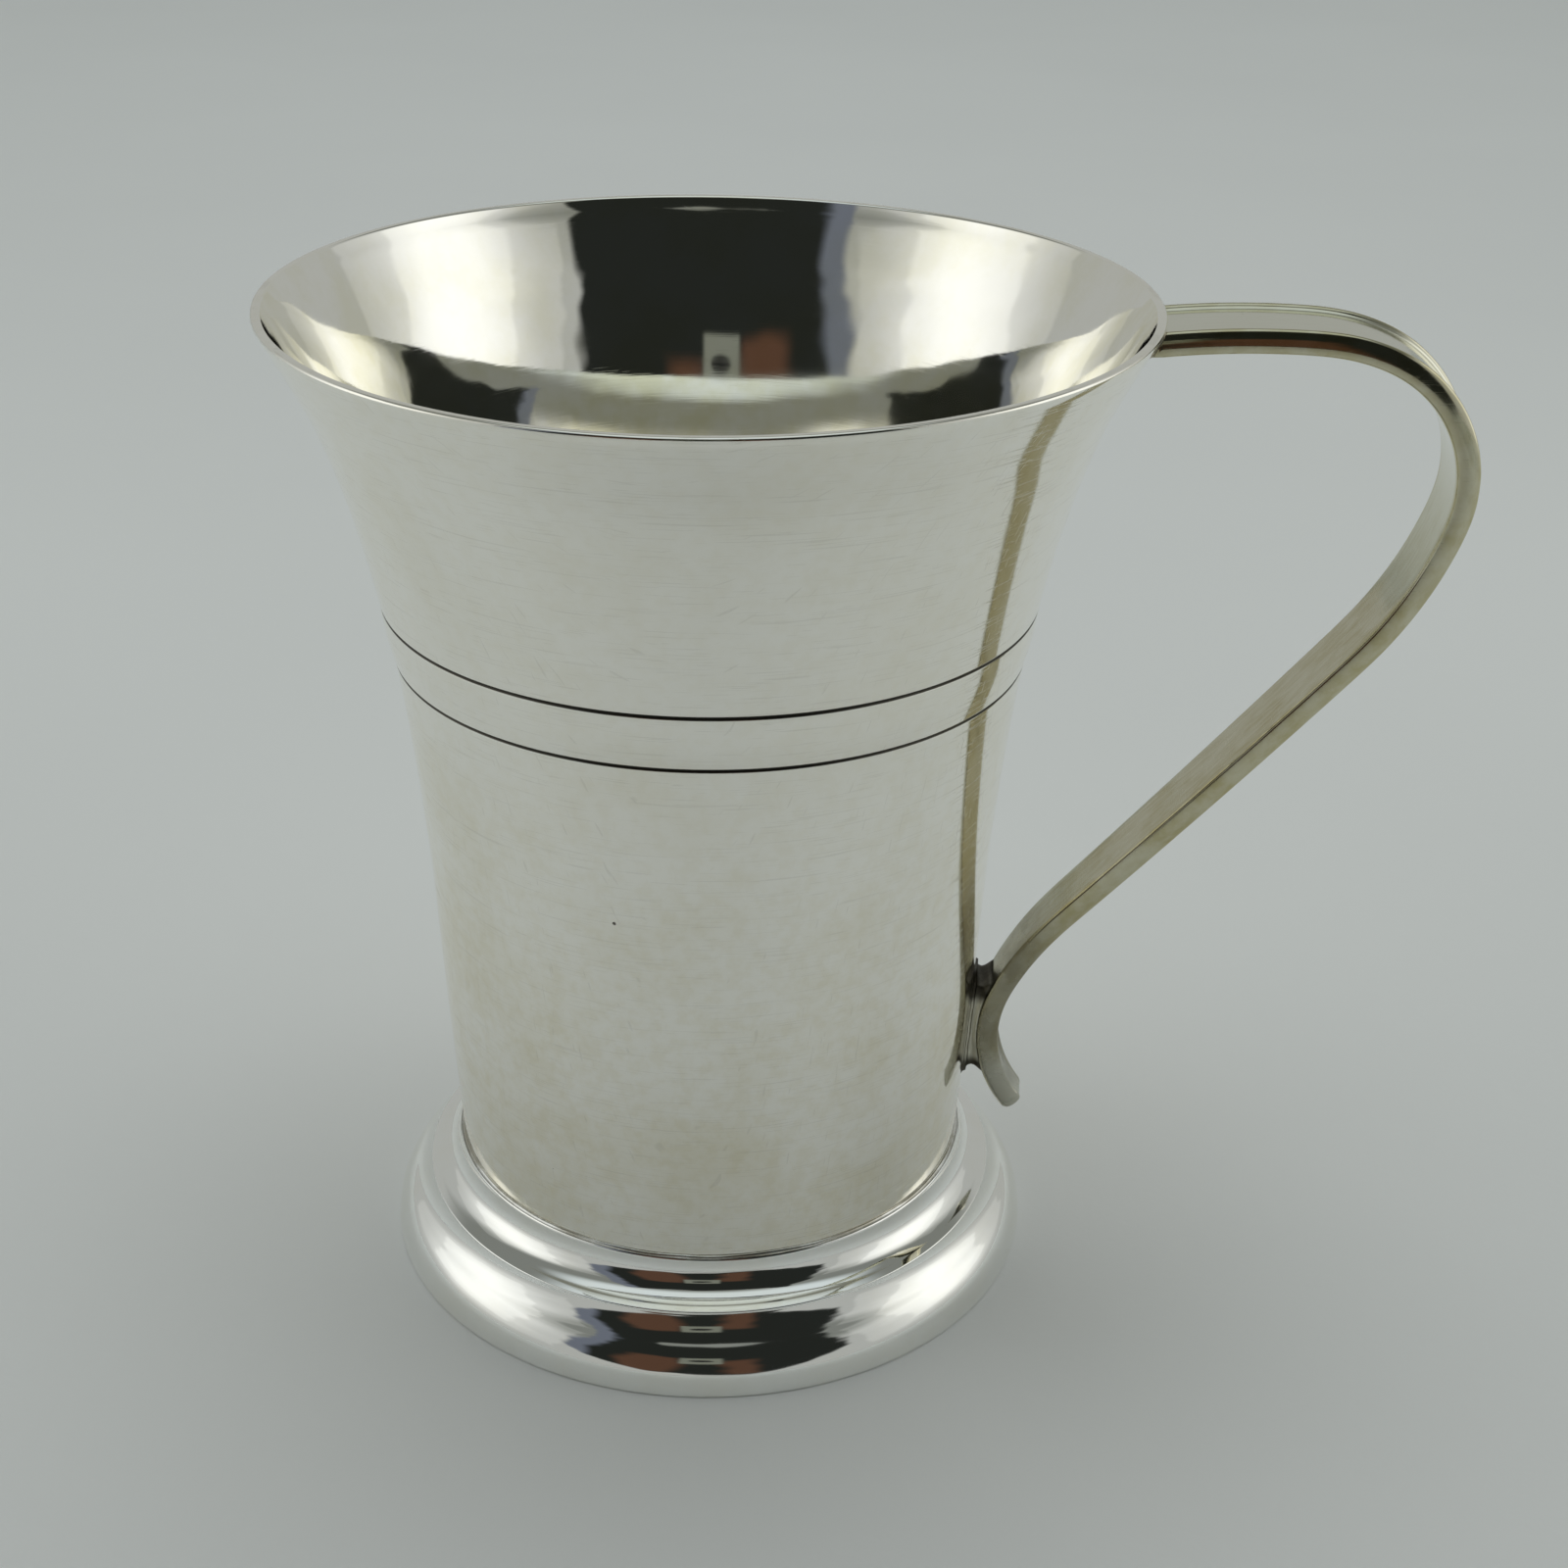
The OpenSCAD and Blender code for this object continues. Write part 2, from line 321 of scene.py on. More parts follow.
def line_dip(cup, z):
    """How deep the incised lines cut at a height, less the swell of the band between them."""
    dip = 0.0
    for share in LINES_AT:
        away = abs(z - share * cup.height) / (cup.line_width / 2)
        if away < 1:
            dip += cup.line_depth * (1 - away) ** 1.3
    low, high = (share * cup.height for share in LINES_AT)
    if low < z < high:
        dip -= cup.crown * math.sin(math.pi * (z - low) / (high - low))
    return dip


def cup_heights(cup, step, near_lines):
    """Heights up the wall, closer together at the incised lines."""
    top = cup.height - cup.gauge * LIP_SHARE
    count = round((top - cup.seat) / step)
    heights = {cup.seat + (top - cup.seat) * i / count for i in range(count)}
    for share in LINES_AT if near_lines else ():
        middle = share * cup.height
        fine = cup.line_width / 8
        heights = {h for h in heights if abs(h - middle) > 6.5 * fine}
        heights |= {middle + fine * k for k in range(-6, 7)}
    return sorted(heights)


def cup_profile(cup):
    """The cup's outline, from the axis under the bottom round to the axis inside.

    The second value is the place in it at which the inside begins.
    """
    corner = (cup.waist - cup.corner, cup.floor + cup.corner)
    lip = cup.gauge * LIP_SHARE
    lip_z = cup.height - lip
    bottom = [(corner[0] * k / 8, cup.floor) for k in range(8)]
    outside = [(wall(cup, z) - line_dip(cup, z), z) for z in cup_heights(cup, 0.7 * MM, True)]
    rim = arc((cup.rim - lip, lip_z), lip, 0, 90, 6)
    rim += arc((cup.rim - cup.gauge + lip, lip_z), lip, 90, 165, 5)
    inside = []
    for z in reversed(cup_heights(cup, 0.8 * MM, False)):
        lean = math.sqrt(1 + wall_slope(cup, z) ** 2)
        inside.append((wall(cup, z) - cup.gauge * lean, z))
    low_floor = cup.floor + cup.gauge
    inner_corner = arc(corner, cup.corner - cup.gauge, 0, -90, 8)
    inner_floor = [(corner[0] * k / 10, low_floor) for k in range(9, -1, -1)]
    before = bottom + arc(corner, cup.corner, -90, 0, 10) + outside + rim
    return before + inside + inner_corner + inner_floor, len(before) - 4


def hand_work(radius, z, angle, depth, size):
    """Shallow uneven hollows in a wall, more of them round than up."""
    place = Vector((math.cos(angle) * radius / size, math.sin(angle) * radius / size, z / (size * 1.6)))
    return depth * noise.fractal(place, 0.9, 2.1, 2)


def build_cup(jug):
    """The cup: one sheet, with a rounded rim, two incised lines and a slightly uneven mouth."""
    cup = jug.cup
    profile, turn_in = cup_profile(cup)

    def shape(k, radius, z, angle):
        high = smooth_step((z - cup.seat) / (cup.height - cup.seat))
        if k < turn_in:
            depth = cup.dents * 0.25 * high
            radius += hand_work(radius, z, angle, depth, 14 * MM) - 0.02 * MM * high
        else:
            depth = cup.dents * high * smooth_step((cup.height - z) / (4 * MM))
            radius += hand_work(radius, z + 0.03, angle, depth, 9 * MM)
        mouth = smooth_step((z - 0.8 * cup.height) / (0.2 * cup.height))
        z -= MOUTH_DIP * mouth * (0.5 - 0.5 * math.cos(2 * angle + 0.6))
        return min(radius, cup.rim), z

    slots = [0 if k < turn_in else 1 for k in range(len(profile))]
    piece = turned("cup", profile, 288, shape, slots)
    finishes = cup_outside_silver(cup), cup_inside_silver()
    ride_and_replace(piece, "cup_body", "body_silver", *finishes)


# ---------------------------------------------------------------- the foot

STEP_SHARE = 0.66
SWEEP_START = 18
SWEEP_MID = 50


def foot_places(foot):
    """Radius and height of the step, and the middles of the hollow and of the swell."""
    step = (foot.radius - foot.shelf, foot.height * STEP_SHARE)
    start, mid = math.radians(SWEEP_START), math.radians(SWEEP_MID)
    hollow = (
        step[0] + foot.sweep * math.cos(start),
        step[1] - 0.12 * MM + foot.sweep * math.sin(start),
    )
    swell = (
        hollow[0] - 2 * foot.sweep * math.cos(mid),
        hollow[1] - 2 * foot.sweep * math.sin(mid),
    )
    return step, hollow, swell


def cove(foot, cup, grow, start, end, steps):
    """The hollow against the cup, a quarter of an ellipse; grow follows it at a distance."""
    step = foot_places(foot)[0]
    centre = (step[0], foot.height - 0.2 * MM)
    across = step[0] - cup.waist - SEAM_RUN + grow
    down = centre[1] - step[1] - 0.1 * MM + grow
    points = []
    for i in range(steps + 1):
        turn = math.radians(start + (end - start) * i / steps)
        points.append((centre[0] - across * math.cos(turn), centre[1] - down * math.sin(turn)))
    return points


def foot_profile(foot, cup):
    """The foot's closed outline: down its outer face, under the edge and up its inner face."""
    step, hollow, swell = foot_places(foot)
    reach = swell[0] + foot.sweep
    run = step[0] - cup.waist
    start = math.degrees(math.acos(run / (run - SEAM_RUN + foot.gauge)))
    edge = arc((step[0] - 0.14 * MM, step[1] - 0.16 * MM), 0.14 * MM, 80, 0, 5)
    outer = [(cup.waist, foot.height), (cup.waist + SEAM_RUN, foot.height)]
    outer += cove(foot, cup, 0, 2, 80, 30) + edge
    outer += arc(hollow, foot.sweep, 180 + SWEEP_START + 2, 180 + SWEEP_MID, 24)
    outer += arc(swell, foot.sweep, SWEEP_MID - 2, 0, 34)
    outer += [(reach - 0.01 * MM, swell[1] * 0.5), (reach - 0.04 * MM, 0.1 * MM), (reach - 0.12 * MM, 0)]
    inner = [(reach - foot.gauge, 0)]
    inner += arc(swell, foot.sweep - foot.gauge, 0, SWEEP_MID, 12)
    inner += arc(hollow, foot.sweep + foot.gauge, 180 + SWEEP_MID - 4, 180 + SWEEP_START + 6, 10)
    inner += cove(foot, cup, foot.gauge, 76, start, 12)
    return outer + inner


def build_foot(jug):
    """The hollow moulded foot, and the flat wire that stiffens its standing edge."""
    foot, cup = jug.foot, jug.cup

    def shape(k, radius, z, angle):
        free = smooth_step((foot.height - z) / (2 * MM)) * smooth_step(z / (1.5 * MM))
        place_here = Vector((radius * math.cos(angle), radius * math.sin(angle), z))
        return radius - 0.012 * MM * free * (1 + noise.noise(place_here / (7 * MM))), z

    outline = list(reversed(foot_profile(foot, cup)))
    piece = turned("foot", outline, 288, shape, closed=True)
    ride_and_replace(piece, "foot_moulding", "foot_silver", foot_silver(foot))

    swell = foot_places(foot)[2]
    outer = swell[0] + foot.sweep - foot.gauge
    inner = outer - foot.wire_width
    soft = 0.3 * MM
    ring = arc((inner + soft, soft), soft, 180, 270, 5)
    ring += [(outer, 0), (outer, swell[1]), (outer - 0.12 * MM, foot.wire_height - 0.2 * MM)]
    ring += [(outer - 0.4 * MM, foot.wire_height)]
    ring += arc((inner + soft, foot.wire_height - soft), soft, 90, 180, 5)
    wire = turned("foot_wire_ring", ring, 192, closed=True)
    ride_and_replace(wire, "foot_wire", "foot_silver", wire_silver(foot))


# ---------------------------------------------------------------- the strap

# The strap's bends from the rim to the tail: (length, turn in degrees)
BENDS = (
    (13.3 * MM, -10), (5.5 * MM, -19), (17.0 * MM, -85), (14.0 * MM, -23),
    (35.6 * MM, -2), (9.5 * MM, 17), (13.5 * MM, 65),
)
STRAP_LENGTH = sum(run for run, _ in BENDS)
START_HEADING = 7.5
STRAP_STEP = 0.3 * MM
# One bend passes into the next over about this length
BEND_BLUR = 2.4 * MM
# Radii of the strap's section: its back corner, the flank, the reed's crest, the trough's side
CORNER = 0.4 * MM
FLANK = 2.2 * MM
CREST = 0.35 * MM
TROUGH_SIDE = 0.5 * MM
# Where the flank passes into the crest, in degrees from level
CREST_FROM = 31
# The trough runs out over this length before the tail
RUN_OUT = 8 * MM
# Radius to which the tail's end is filed
TAIL_SOFT = 0.85 * MM
# How far the reed's crest stands in from the strap's side
REED_INSET = 0.6 * MM
# How far each reed draws in by the tail: evenly along the strap, and mostly near the tail
DRAW_EVEN, DRAW_LATE = 1.05 * MM, 1.6 * MM


def bend_at(s, blur=0.0):
    """Degrees of turn per metre at a place along the strap, averaged over a short stretch."""
    if blur:
        offsets = [blur * k / 6 for k in range(-6, 7)]
        weights = [7 - abs(k) for k in range(-6, 7)]
        return sum(w * bend_at(s + o) for w, o in zip(weights, offsets)) / sum(weights)
    for run, turn in BENDS:
        if s <= run:
            return turn / run
        s -= run
    return BENDS[-1][1] / BENDS[-1][0]


def strap_line(jug, blur):
    """The strap's middle line: (x, z, heading in degrees, share of the length) at even steps."""
    count = round(STRAP_LENGTH / STRAP_STEP)
    step = STRAP_LENGTH / count
    x, z = wall(jug.cup, jug.handle.root_height), jug.handle.root_height
    heading = START_HEADING
    line = [(x, z, heading, 0.0)]
    for i in range(count):
        turn = bend_at((i + 0.5) * step, blur) * step
        middle = math.radians(heading + turn / 2)
        x, z = x + step * math.cos(middle), z + step * math.sin(middle)
        heading += turn
        line.append((x, z, heading, (i + 1) / count))
    return line


def strap_stations(jug):
    """The fair middle line, drawn back to where the plain one ends."""
    plain, fair = strap_line(jug, 0), strap_line(jug, BEND_BLUR)
    off_x, off_z = plain[-1][0] - fair[-1][0], plain[-1][1] - fair[-1][1]
    return [(x + off_x * u, z + off_z * u, h, u) for x, z, h, u in fair]


def reed_place(handle, u):
    """Half the distance between the two reeds, which draw together towards the tail."""
    return handle.width / 2 - REED_INSET - DRAW_EVEN * u - DRAW_LATE * u**3


def trough_at(handle, u):
    """Depth of the trough, which runs out a little before the tail."""
    return max(handle.trough * smooth_step((1 - u) * STRAP_LENGTH / RUN_OUT), 0.05 * MM)


def strap_outline(handle, u):
    """The strap cut across: (across, outward) points, once round."""
    half = handle.thickness / 2
    depth = trough_at(handle, u)
    tilt = math.radians(CREST_FROM)
    crest = (reed_place(handle, u), half - CREST)
    flank = (crest[0] - (FLANK - CREST) * math.cos(tilt), crest[1] - (FLANK - CREST) * math.sin(tilt))
    inset, rise = FLANK - CORNER, CORNER - half - flank[1]
    corner = (flank[0] + math.sqrt(inset**2 - rise**2), flank[1] + rise)
    start = math.degrees(math.asin(rise / inset))
    turn = math.acos(1 - depth / (CREST + TROUGH_SIDE))
    fall = math.degrees(turn)
    hollow = (
        crest[0] - (CREST + TROUGH_SIDE) * math.sin(turn),
        crest[1] + (CREST + TROUGH_SIDE) * math.cos(turn),
    )
    side = arc(corner, CORNER, -90, start, 9)
    side += arc(flank, FLANK, start + 2, CREST_FROM, 12)
    side += arc(crest, CREST, CREST_FROM + 7, 90 + fall, 12)
    side += arc(hollow, TROUGH_SIDE, 270 + fall * 0.9, 270, 7)
    floor = [(hollow[0] * k / 5, half - depth) for k in (4, 3, 2, 1, 0, -1, -2, -3, -4)]
    under = [(corner[0] * k / 5, -half) for k in range(-4, 5)]
    return side + floor + [(-a, b) for a, b in reversed(side)] + under


def place(station, across, outward):
    """A point of the strap at a station."""
    x, z, heading, _ = station
    turn = math.radians(heading)
    return (x - outward * math.sin(turn), across, z + outward * math.cos(turn))


def build_strap(jug):
    """The strap, from its end on the cup's wall to its turned-out tail."""
    handle, cup = jug.handle, jug.cup
    stations = strap_stations(jug)
    rings = []
    for station in stations[:-2]:
        ring = [place(station, a, b) for a, b in strap_outline(handle, station[3])]
        if station[3] == 0:
            ring = [on_wall(cup, p) for p in ring]
        rings.append(ring)
    # The first steps stay clear of the curved wall
    reach = [on_wall(cup, p)[0] for p in rings[0]]
    for ring in rings[1:12]:
        for j, p in enumerate(ring):
            ring[j] = (max(p[0], reach[j] + 0.02 * MM), p[1], p[2])
    # The tail's end is filed round
    last = stations[-3]
    outline = strap_outline(handle, 1)
    turn = math.radians(last[2])
    for k in range(1, 10):
        over = math.radians(10 * k)
        along, shrink = TAIL_SOFT * math.sin(over), TAIL_SOFT * (1 - math.cos(over))
        end = (last[0] + along * math.cos(turn), last[1] + along * math.sin(turn), last[2], 1)
        half_width = reed_place(handle, 1) + REED_INSET
        narrow, thin = 1 - shrink / half_width, 1 - shrink / (handle.thickness / 2)
        rings.append([place(end, a * narrow, b * thin) for a, b in outline])
    edge = STRAP_HIGH.x - 0.004 * MM
    rings = [[(min(p[0], edge), p[1], p[2]) for p in ring] for ring in rings]
    piece = skin("handle_strap_piece", rings)
    ride_and_replace(piece, "handle_strap", "handle_silver", strap_silver(handle))


# ---------------------------------------------------------------- pad and solder

PAD_GAP = 1.85 * MM
PAD_BELOW = 40 * MM
# How far the pad reaches out past the stations' half width
PAD_WIDER = 0.35 * MM
# How far the solder goes into the wall, and how far it stands in from the pad's side
SOLDER_ROOT = 0.08 * MM
SOLDER_INSET = 0.05 * MM


def pad_stations(jug):
    """The stations at which the strap's inner face nearly touches the cup."""
    found = []
    for station in strap_stations(jug):
        x, _, z = place(station, 0, -jug.handle.thickness / 2)
        if z < PAD_BELOW and x - wall(jug.cup, z) < PAD_GAP:
            found.append((x, z, reed_place(jug.handle, station[3]) - 0.1 * MM))
    return found


def build_pad(jug):
    """The packing piece between the strap and the cup, hollow at its sides and its two ends."""
    stations = pad_stations(jug)
    top, foot = stations[0][1], stations[-1][1]
    middle, reach = (top + foot) / 2, (top - foot) / 2

    def between(z):
        """The strap's face and half the pad's width at a height."""
        for (x1, z1, half1), (x2, z2, half2) in zip(stations, stations[1:]):
            if z >= z2 or z2 == foot:
                t = (z1 - z) / (z1 - z2)
                return x1 + (x2 - x1) * t, half1 + (half2 - half1) * t

    def place_of(across, side, up):
        sag = math.sin(math.pi * across)
        z = middle + (2 * up - 1) * (reach - 0.6 * MM * sag)
        strap, half = between(z)
        wander = noise.noise(Vector((side, up * 6, 2.0)))
        y = (2 * side - 1) * (half + PAD_WIDER - (0.25 + 0.06 * wander) * MM * sag)
        near = on_wall(jug.cup, (0, y, z))[0]
        return near + (strap - near) * across, y, z

    piece = block("handle_pad", (6, 14, 30), place_of)
    metal = pad_metal("Handle pad", foot, top)
    ride_and_replace(piece, "lower_handle_pad", "handle_silver", metal)


def bead(root, wall_point, up, size, count=5):
    """A solder fillet cut across: its hidden root, then its hollow face out to the other piece."""
    middle = Vector(root)
    a, b = Vector(wall_point), middle + Vector(up) * size
    points = [(root[0] - SOLDER_ROOT, root[1], root[2])]
    for k in range(count + 1):
        t = k / count
        points.append(tuple(a.lerp(b, t).lerp(middle, 0.35 * math.sin(math.pi * t))))
    return points


def uneven(place_of, size, scatter):
    """A size that wanders a little from place to place."""
    return size * (1 + scatter * noise.noise(Vector(place_of) / (1.1 * MM)))


def build_foot_seam(jug):
    """The seam where the cup stands in the foot."""
    waist, top = jug.cup.waist, jug.foot.height

    def wander(k, radius, z, angle):
        if k == 2:
            z += 0.12 * MM * noise.noise(Vector((math.cos(angle), math.sin(angle), 0.3)) * 6)
        return radius, z

    outline = [
        (waist - 0.05 * MM, top - 0.02 * MM), (waist + SEAM_RUN, top - 0.02 * MM),
        (waist + 0.1 * MM, top + 0.14 * MM), (waist - 0.05 * MM, top + 0.33 * MM),
    ]
    seam = turned("foot_seam", outline, 256, wander, closed=True)
    ride_and_replace(seam, "solder_foot_seam", "hard_solder", seam_silver(jug.foot))


def build_top_solder(jug):
    """The fillet round the strap's upper end."""
    cup, handle = jug.cup, jug.handle
    outline = strap_outline(handle, 0)
    count = len(outline)
    first = strap_stations(jug)[0]
    turn = math.radians(START_HEADING)
    up = (math.cos(turn), 0, math.sin(turn))
    loops = []
    for j in range(count):
        ahead, behind = outline[(j + 1) % count], outline[j - 1]
        away = Vector((ahead[1] - behind[1], behind[0] - ahead[0])).normalized()
        root = on_wall(cup, place(first, *outline[j]))
        size = min(uneven(root, handle.fillet, 0.45), TROUGH_SIDE * 0.9)
        spread = (outline[j][0] + size * away[0], outline[j][1] + size * away[1])
        loops.append(bead(root, on_wall(cup, place(first, *spread)), up, size))
    piece = skin("handle_top_solder", loops, closed=True)
    ride_and_replace(piece, "solder_handle_top", "hard_solder", solder_metal(handle))


def build_bottom_solder(jug):
    """The fillet round the pad."""
    cup, handle = jug.cup, jug.handle
    stations = pad_stations(jug)
    right = [(half + PAD_WIDER - SOLDER_INSET, z) for _, z, half in stations]
    contour = right + [(-y, z) for y, z in reversed(right)]
    loops = []
    for j, (y, z) in enumerate(contour):
        corner = j in (0, len(contour) - 1)
        tail_end = j in (len(right) - 1, len(right))
        along = 1 if corner else -1 if tail_end else 0
        root = on_wall(cup, (0, y, z))
        size = uneven(root, handle.fillet, 0.2)
        away = Vector((1 if y > 0 else -1, along)).normalized() * size
        loops.append(bead(root, on_wall(cup, (0, y + away[0], z + away[1])), (1, 0, 0), size))
    piece = skin("handle_bottom_solder", loops, closed=True)
    metal = pad_metal("Handle foot solder", stations[-1][1], stations[0][1])
    ride_and_replace(piece, "solder_handle_bottom", "hard_solder", metal)


# ---------------------------------------------------------------- finishes

PIT_COLOUR = (0.06, 0.05, 0.04)


def add_node(tree, kind, inputs=None, **settings):
    """A node with its settings, and its inputs given as values or as sockets to link."""
    made = tree.nodes.new(kind)
    for name, value in settings.items():
        setattr(made, name, value)
    for name, value in (inputs or {}).items():
        if isinstance(value, bpy.types.NodeSocket):
            tree.links.new(value, made.inputs[name])
        else:
            made.inputs[name].default_value = value
    return made


def maths(tree, operation, a, b=0.0, clamp=False):
    """The result of a Math node."""
    return add_node(tree, "ShaderNodeMath", {0: a, 1: b}, operation=operation, use_clamp=clamp).outputs[0]


def times(tree, a, b, clamp=False):
    """One value times another."""
    return maths(tree, "MULTIPLY", a, b, clamp)


def greater(tree, a, b):
    """The greater of two values."""
    return maths(tree, "MAXIMUM", a, b)


def total(tree, base, *parts):
    """A base with (value, weight) pairs added to it."""
    for value, weight in parts:
        base = maths(tree, "ADD", times(tree, value, weight), base)
    return base


def ramp(tree, value, low, high, to_low=0.0, to_high=1.0):
    """A value taken evenly from one range to another and held at its ends."""
    node = add_node(
        tree,
        "ShaderNodeMapRange",
        {"Value": value, "From Min": low, "From Max": high, "To Min": to_low, "To Max": to_high},
        interpolation_type="SMOOTHSTEP",
    )
    return node.outputs["Result"]


def blend_colours(tree, share, first, second):
    """A mix of two colours, each a socket or three numbers."""
    first, second = (c if isinstance(c, bpy.types.NodeSocket) else (*c, 1) for c in (first, second))
    return add_node(tree, "ShaderNodeMix", {0: share, 6: first, 7: second}, data_type="RGBA").outputs[2]


def grain(tree, vector, scale, detail=3.0, roughness=0.5, stretch=(1, 1, 1)):
    """Noise over the surface, which may be stretched."""
    mapped = add_node(tree, "ShaderNodeMapping", {"Vector": vector, "Scale": stretch})
    node = add_node(
        tree,
        "ShaderNodeTexNoise",
        {"Vector": mapped.outputs[0], "Scale": scale, "Detail": detail, "Roughness": roughness},
    )
    return node.outputs["Fac"]


def effect(name, inputs, outputs):
    """A new node group: its tree, its inputs inside and its outputs inside.

    Every effect takes the place on the surface. inputs holds its other inputs with their defaults.
    """
    tree = bpy.data.node_groups.new(name, "ShaderNodeTree")
    tree.interface.new_socket("Vector", in_out="INPUT", socket_type="NodeSocketVector")
    for socket, value in inputs.items():
        made = tree.interface.new_socket(socket, in_out="INPUT", socket_type="NodeSocketFloat")
        made.default_value = value
    for socket in outputs:
        tree.interface.new_socket(socket, in_out="OUTPUT", socket_type="NodeSocketFloat")
    return tree, tree.nodes.new("NodeGroupInput").outputs, tree.nodes.new("NodeGroupOutput").inputs


# Stray scratches: how each kind is turned, how fine it is along three axes, and how few there are
SCRATCHES = (
    ((0.3, 0.2, 0.9), (260, 9000, 400), 0.70),
    ((-0.5, 0.9, 0.1), (300, 500, 8000), 0.70),
    ((0.05, 0.04, 0.0), (160, 160, 9000), 0.66),
    ((-0.06, 0.03, 0.5), (120, 120, 6500), 0.67),
)


def polishing_lines(name):
    """Fine lines that run round the piece, and short stray scratches that cross them."""
    tree, given, out = effect(name, {"Stray": 0.5}, ("Height", "Streak", "Scratch"))
    fine = grain(tree, given["Vector"], 1.0, 4, 0.7, (90, 90, 5200))
    broad = grain(tree, given["Vector"], 1.0, 3, 0.6, (45, 45, 900))
    strays = 0.0
    for turn, scale, edge in SCRATCHES:
        mapped = add_node(
            tree, "ShaderNodeMapping", {"Vector": given["Vector"], "Rotation": turn, "Scale": scale}
        )
        texture = add_node(
            tree, "ShaderNodeTexNoise", {"Vector": mapped.outputs[0], "Scale": 1.0, "Detail": 1.0}
        )
        strays = greater(tree, ramp(tree, texture.outputs["Fac"], edge, edge + 0.05), strays)
    stray = times(tree, strays, given["Stray"])
    height = total(tree, 0.0, (fine, 0.6), (broad, 0.4), (stray, -0.5))
    tree.links.new(height, out["Height"])
    tree.links.new(times(tree, fine, broad), out["Streak"])
    tree.links.new(stray, out["Scratch"])
    return tree


def dull_film(name):
    """Soft clouds of thin tarnish."""
    tree, given, out = effect(name, {"Size": 60.0}, ("Clouds", "Wipes"))
    clouds = add_node(
        tree,
        "ShaderNodeTexNoise",
        {"Vector": given["Vector"], "Scale": given["Size"], "Detail": 5.0, "Roughness": 0.62},
    )
    tree.links.new(ramp(tree, clouds.outputs["Fac"], 0.38, 0.68), out["Clouds"])
    wipes = grain(tree, given["Vector"], 1.0, 4, 0.6, (40, 40, 170))
    tree.links.new(ramp(tree, wipes, 0.45, 0.7), out["Wipes"])
    return tree


def small_pits(name):
    """A few small dark pits and nicks."""
    tree, given, out = effect(name, {"Spacing": 160.0, "Share": 0.25}, ("Pits",))
    warp = add_node(tree, "ShaderNodeTexNoise", {"Vector": given["Vector"], "Scale": 1500.0})
    bent = add_node(
        tree,
        "ShaderNodeVectorMath",
        {0: warp.outputs["Color"], 1: (0.0004, 0.0004, 0.0002), 2: given["Vector"]},
        operation="MULTIPLY_ADD",
    )
    cells = add_node(
        tree,
        "ShaderNodeTexVoronoi",
        {"Vector": bent.outputs[0], "Scale": given["Spacing"], "Randomness": 1.0},
    )
    parts = add_node(tree, "ShaderNodeSeparateColor", {"Color": cells.outputs["Color"]})
    chosen = maths(tree, "LESS_THAN", parts.outputs[0], given["Share"])
    size = times(tree, parts.outputs[1], 0.035)
    near = maths(tree, "LESS_THAN", cells.outputs["Distance"], size)
    tree.links.new(times(tree, chosen, near), out["Pits"])
    return tree


EFFECTS = {"Polishing Lines": polishing_lines, "Dull Film": dull_film, "Small Pits": small_pits}


def use_effect(tree, name, where, **values):
    """The outputs of an effect placed in a material. Its group is built the first time."""
    group = bpy.data.node_groups.get(name) or EFFECTS[name](name)
    return add_node(tree, "ShaderNodeGroup", {"Vector": where, **values}, node_tree=group).outputs


def wear(tree, where, stray, clouds, spacing, share):
    """The polishing lines, the film and the pits of a piece of silver."""
    lines = use_effect(tree, "Polishing Lines", where, Stray=stray)
    film = use_effect(tree, "Dull Film", where, Size=clouds)
    return lines, film, use_effect(tree, "Small Pits", where, Spacing=spacing, Share=share)["Pits"]


def new_finish(name):
    """A new material, its tree and the piece's own coordinates."""
    material = bpy.data.materials.new(name)
    material.use_nodes = True
    tree = material.node_tree
    return material, tree, tree.nodes.new("ShaderNodeTexCoord").outputs["Object"]


def bump(tree, height, distance):
    """The height raises the surface under the material's shader."""
    node = add_node(tree, "ShaderNodeBump", {"Height": height, "Distance": distance, "Strength": 1.0})
    tree.links.new(node.outputs[0], tree.nodes["Principled BSDF"].inputs["Normal"])


def as_metal(material, tint, rough, height, distance):
    """The material, made a metal of that colour, roughness and raised surface."""
    tree = material.node_tree
    shader = tree.nodes["Principled BSDF"]
    tree.links.new(tint, shader.inputs["Base Color"])
    tree.links.new(rough, shader.inputs["Roughness"])
    shader.inputs["Metallic"].default_value = 1
    bump(tree, height, distance)
    return material


def height_above_table(tree, where):
    """The height of a point of the surface."""
    return add_node(tree, "ShaderNodeSeparateXYZ", {0: where}).outputs["Z"]


def line_mask(tree, z, cup):
    """1 in the incised lines and 0 elsewhere."""
    masks = []
    for share in LINES_AT:
        away = maths(tree, "ABSOLUTE", maths(tree, "SUBTRACT", z, share * cup.height))
        masks.append(ramp(tree, away, cup.line_width * 0.33, cup.line_width * 0.52, 1.0, 0.0))
    return maths(tree, "ADD", *masks, clamp=True)


